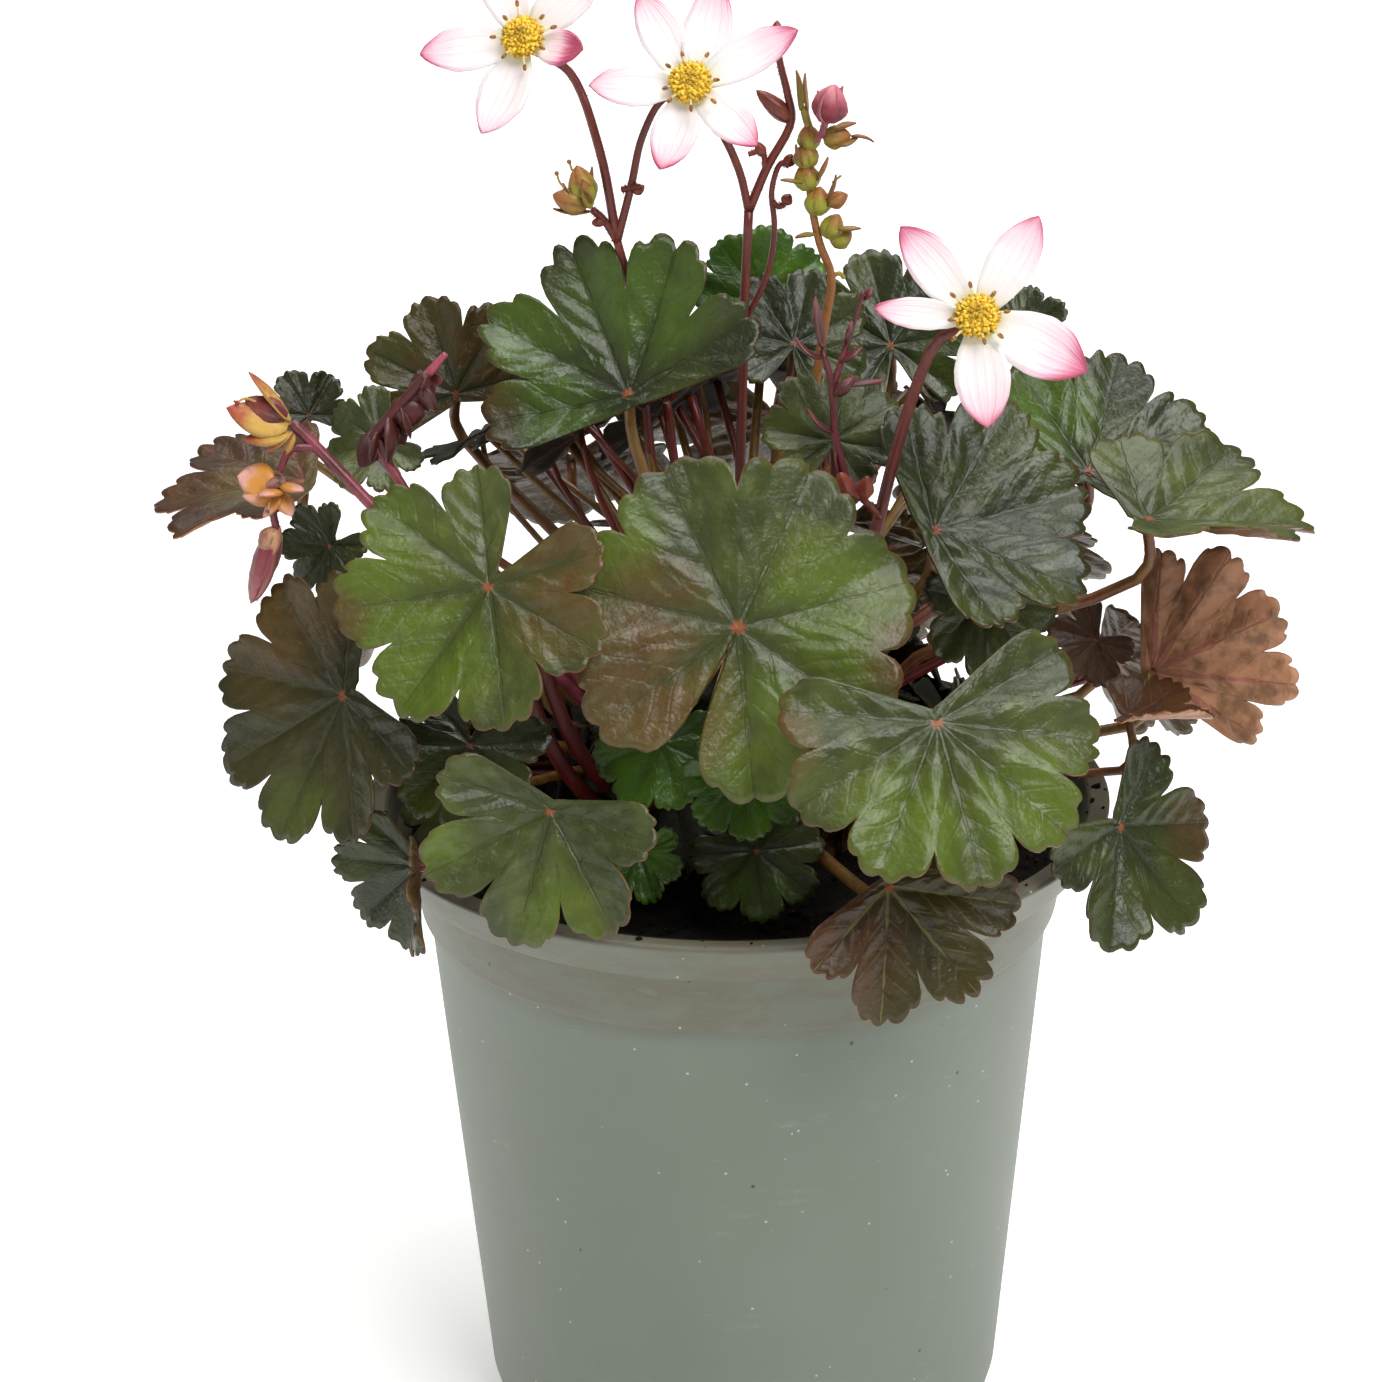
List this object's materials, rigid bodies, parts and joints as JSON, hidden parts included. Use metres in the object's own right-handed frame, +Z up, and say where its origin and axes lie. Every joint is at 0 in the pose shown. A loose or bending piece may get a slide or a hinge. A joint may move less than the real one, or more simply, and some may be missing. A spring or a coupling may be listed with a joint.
{
  "type": "potted saxifrage",
  "caption": "Clump of lobed red-stalked leaves with starry white and pink blooms on thin forked stems, growing from soil in a round tapered plastic nursery pot.",
  "frame": {"origin": "centre of the pot's flat base, where it stands on a surface", "axes": "+Z up along the pot; the front of the plant, as pictured, faces -Y and +X is to its right"},
  "size_m": [0.1944, 0.1617, 0.2619],
  "materials": {
    "pot": "satin",
    "soil": "matte",
    "stalk": "satin",
    "leaf_grey": "satin",
    "leaf_bronze": "satin",
    "leaf_olive": "satin",
    "leaf_deep": "satin",
    "leaf_mauve": "satin",
    "leaf_lime": "satin",
    "petal": "matte",
    "pollen": "matte",
    "flower_stem": "satin",
    "green_bud": "matte",
    "red_bud": "satin",
    "young_red": "satin",
    "spent": "matte"
  },
  "bodies": {
    "root": {"pot": "pot", "potting_soil": "soil", "crown_and_stalks": "stalk", "leaf_front_big": "leaf_grey", "leaf_front_right": "leaf_grey", "leaf_front_left": "leaf_grey", "leaf_left_low": "leaf_bronze", "leaf_rim_left": "leaf_grey", "leaf_rim_right": "leaf_olive", "leaf_right_low": "leaf_deep", "leaf_right_turned": "leaf_mauve", "leaf_right_high": "leaf_deep", "leaf_right_wide": "leaf_grey", "leaf_mid_right": "leaf_deep", "leaf_top": "leaf_deep", "leaf_top_left": "leaf_deep", "leaf_far_left": "leaf_mauve", "leaf_blue_left": "leaf_grey", "leaf_back_bright": "leaf_lime", "leaf_back_grey": "leaf_deep", "leaf_back_dull": "leaf_deep", "leaf_back_small": "leaf_deep", "leaf_mid_grey": "leaf_grey", "leaf_grey_right": "leaf_grey", "leaf_soil_middle": "leaf_deep", "leaf_drooping": "leaf_deep", "leaf_inner_right": "leaf_deep", "leaf_inner_left": "leaf_deep", "leaf_brown_right": "leaf_mauve", "leaf_folded_right": "leaf_mauve", "leaf_brown_left": "leaf_bronze", "leaf_dark_left": "leaf_deep", "leaf_behind_left": "leaf_deep", "leaf_behind_middle": "leaf_deep", "leaf_behind_right": "leaf_deep", "leaf_side_left": "leaf_deep", "leaf_side_right": "leaf_deep", "leaf_rim_behind_left": "leaf_deep", "leaf_rim_behind_right": "leaf_deep", "leaf_left_side_low": "leaf_deep", "bloom_left_petals": "petal", "bloom_middle_petals": "petal", "bloom_right_petals": "petal", "bloom_left_centre": "pollen", "bloom_middle_centre": "pollen", "bloom_right_centre": "pollen", "stem_left": "flower_stem", "stem_middle": "flower_stem", "stem_right": "flower_stem", "buds_left": "green_bud", "seed_heads": "green_bud", "bud_pink": "red_bud", "side_bud_low": "red_bud", "side_stem": "young_red", "young_red_leaf": "young_red", "young_shoot": "young_red", "side_flower_top": "spent", "side_flower_middle": "spent", "young_green_leaves": "leaf_lime", "inner_leaves": "leaf_deep"}
  },
  "joints": []
}
